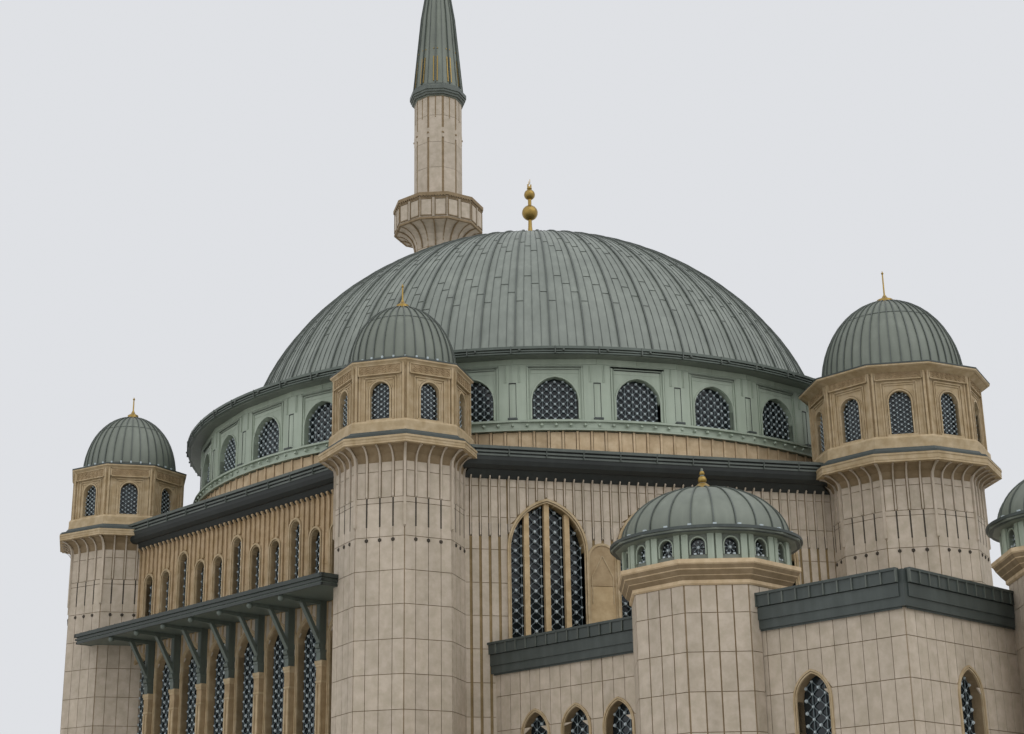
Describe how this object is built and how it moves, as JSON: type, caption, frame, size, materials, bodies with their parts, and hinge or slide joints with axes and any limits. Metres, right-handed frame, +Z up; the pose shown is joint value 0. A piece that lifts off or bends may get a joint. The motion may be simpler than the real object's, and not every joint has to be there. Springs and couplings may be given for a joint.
{
  "type": "mosque building, half-scale model",
  "caption": "Half-scale domed mosque: six-sided stone hall, windowed drum and metal dome, corner towers with lanterns, slender minaret, canopy on one side and a low domed wing.",
  "frame": {"origin": "on the ground under the middle of the main dome", "axes": "+Z up, -Y out through the front wall of the hall, +X to the right seen from the front"},
  "size_m": [21.5803, 25.6251, 30.3],
  "materials": {
    "plain_stone": "honed limestone cladding, cool beige, with open joints",
    "warm_stone": "carved sandstone, warm tan",
    "floor_stone": "honed stone floor",
    "sage_metal": "painted sheet metal, sage green, satin",
    "roof_metal": "standing seam sheet metal, grey green, weathered",
    "dark_metal": "dark green-grey painted sheet metal, satin",
    "gilt_metal": "gilded copper, worn",
    "glass": "dark tinted window glass"
  },
  "bodies": {
    "root": {"front_wall": "plain_stone", "front_glass": "glass", "front_window_wall": "plain_stone", "right_front_wall": "plain_stone", "right_front_glass": "glass", "right_back_wall": "plain_stone", "right_back_glass": "glass", "back_wall": "plain_stone", "back_glass": "glass", "left_back_wall": "plain_stone", "left_back_glass": "glass", "left_front_wall": "warm_stone", "left_front_glass": "glass", "tower_right_shaft": "plain_stone", "tower_right_lantern": "warm_stone", "tower_right_dome": "roof_metal", "tower_back_right_shaft": "plain_stone", "tower_back_right_lantern": "warm_stone", "tower_back_right_dome": "roof_metal", "tower_back_left_shaft": "plain_stone", "tower_back_left_lantern": "warm_stone", "tower_back_left_dome": "roof_metal", "tower_left_shaft": "plain_stone", "tower_left_lantern": "warm_stone", "tower_left_dome": "roof_metal", "tower_front_left_shaft": "plain_stone", "tower_front_left_lantern": "warm_stone", "tower_front_left_dome": "roof_metal", "tower_front_right_shaft": "plain_stone", "tower_front_right_lantern": "warm_stone", "tower_front_right_dome": "roof_metal", "hall_floor": "floor_stone", "hall_roof": "dark_metal", "drum_base": "warm_stone", "drum_ledge": "sage_metal", "drum_wall_front_right": "sage_metal", "drum_wall_back": "sage_metal", "drum_wall_left": "sage_metal", "drum_glass": "glass", "drum_cornice": "roof_metal", "main_dome": "roof_metal", "main_finial": "gilt_metal", "canopy": "sage_metal", "minaret_shaft": "plain_stone", "minaret_balcony": "warm_stone", "minaret_upper_shaft": "plain_stone", "minaret_cone": "roof_metal", "wing_outer_wall": "plain_stone", "wing_left_wall": "plain_stone", "wing_right_wall": "plain_stone", "wing_floor": "floor_stone", "wing_roof": "dark_metal", "turret_base_left": "plain_stone", "turret_dome_left": "roof_metal", "turret_base_right": "plain_stone", "turret_dome_right": "roof_metal", "turret_base_end_left": "plain_stone", "turret_dome_end_left": "roof_metal", "turret_base_end_right": "plain_stone", "turret_dome_end_right": "roof_metal"}
  },
  "joints": []
}
